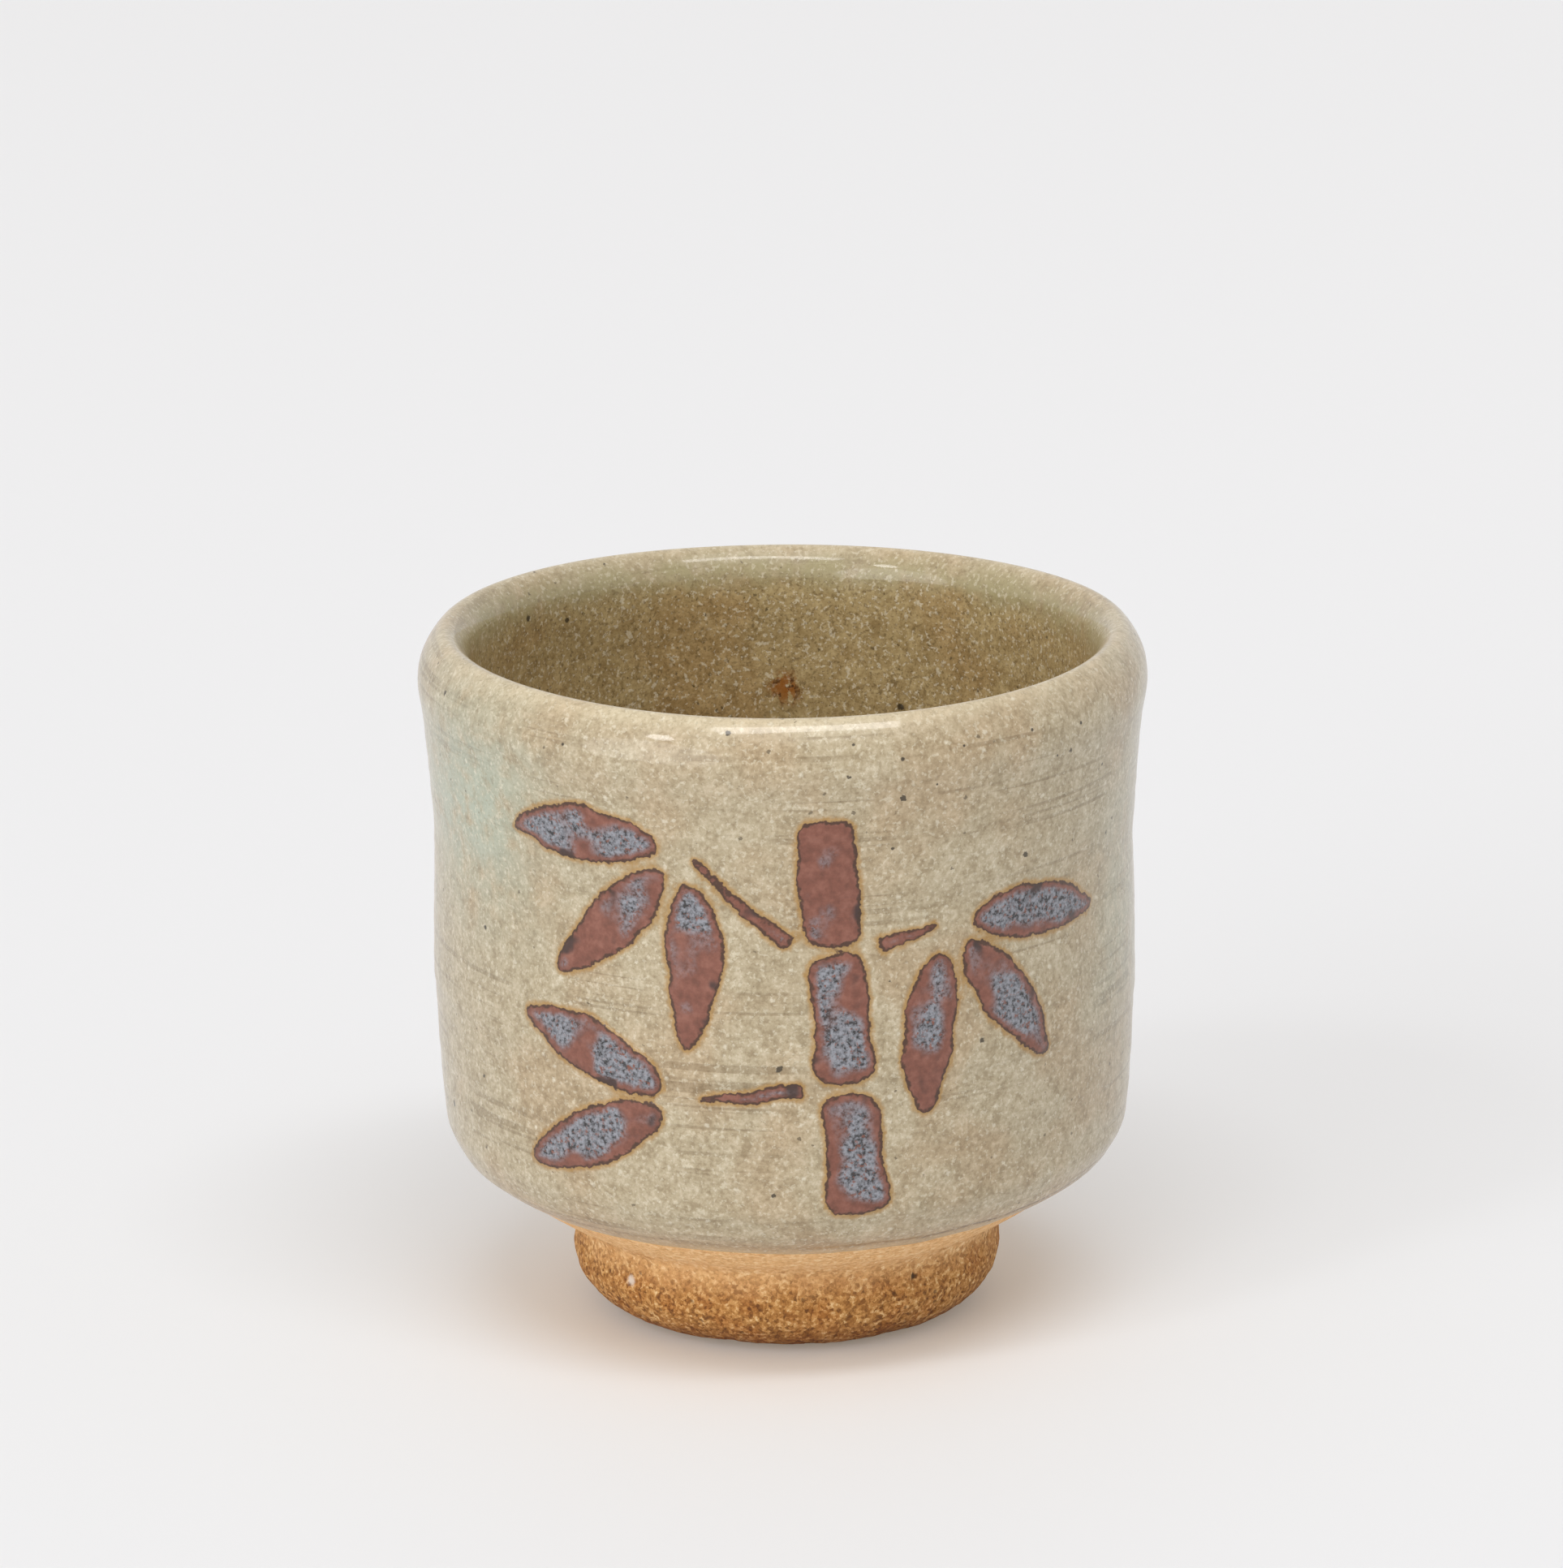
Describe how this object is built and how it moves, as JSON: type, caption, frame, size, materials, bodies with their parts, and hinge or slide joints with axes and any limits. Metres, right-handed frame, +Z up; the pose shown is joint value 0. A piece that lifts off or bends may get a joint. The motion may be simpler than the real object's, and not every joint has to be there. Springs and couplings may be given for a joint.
{
  "type": "sake cup",
  "caption": "Small round stoneware cup with a softly flared lip, full belly and turned foot, glazed inside and out, with bamboo brushed in iron pigment; holds a drink.",
  "frame": {"origin": "centre of the foot, on the surface that the cup stands on", "axes": "+Z up along the cup's axis of revolution; -Y is the front, with the painted bamboo; +X is to the right of the front"},
  "size_m": [0.06, 0.06, 0.0575],
  "materials": {
    "bare_clay": "unglazed fired stoneware, coarse and sandy",
    "glaze": "satin gloss, translucent grey-beige ash glaze with specks",
    "iron_pigment": "satin rust-brown iron brushwork with blue-grey bloom"
  },
  "bodies": {
    "root": {"cup_body": "bare_clay", "foot": "bare_clay", "outer_glaze": "glaze", "inner_glaze": "glaze", "culm_1": "iron_pigment", "culm_2": "iron_pigment", "culm_3": "iron_pigment", "upper_left_twig": "iron_pigment", "upper_left_leaf_1": "iron_pigment", "upper_left_leaf_2": "iron_pigment", "upper_left_leaf_3": "iron_pigment", "right_twig": "iron_pigment", "right_leaf_1": "iron_pigment", "right_leaf_2": "iron_pigment", "right_leaf_3": "iron_pigment", "lower_left_twig": "iron_pigment", "lower_left_leaf_1": "iron_pigment", "lower_left_leaf_2": "iron_pigment", "back_twig": "iron_pigment", "back_leaf_1": "iron_pigment", "back_leaf_2": "iron_pigment", "back_leaf_3": "iron_pigment"}
  },
  "joints": []
}
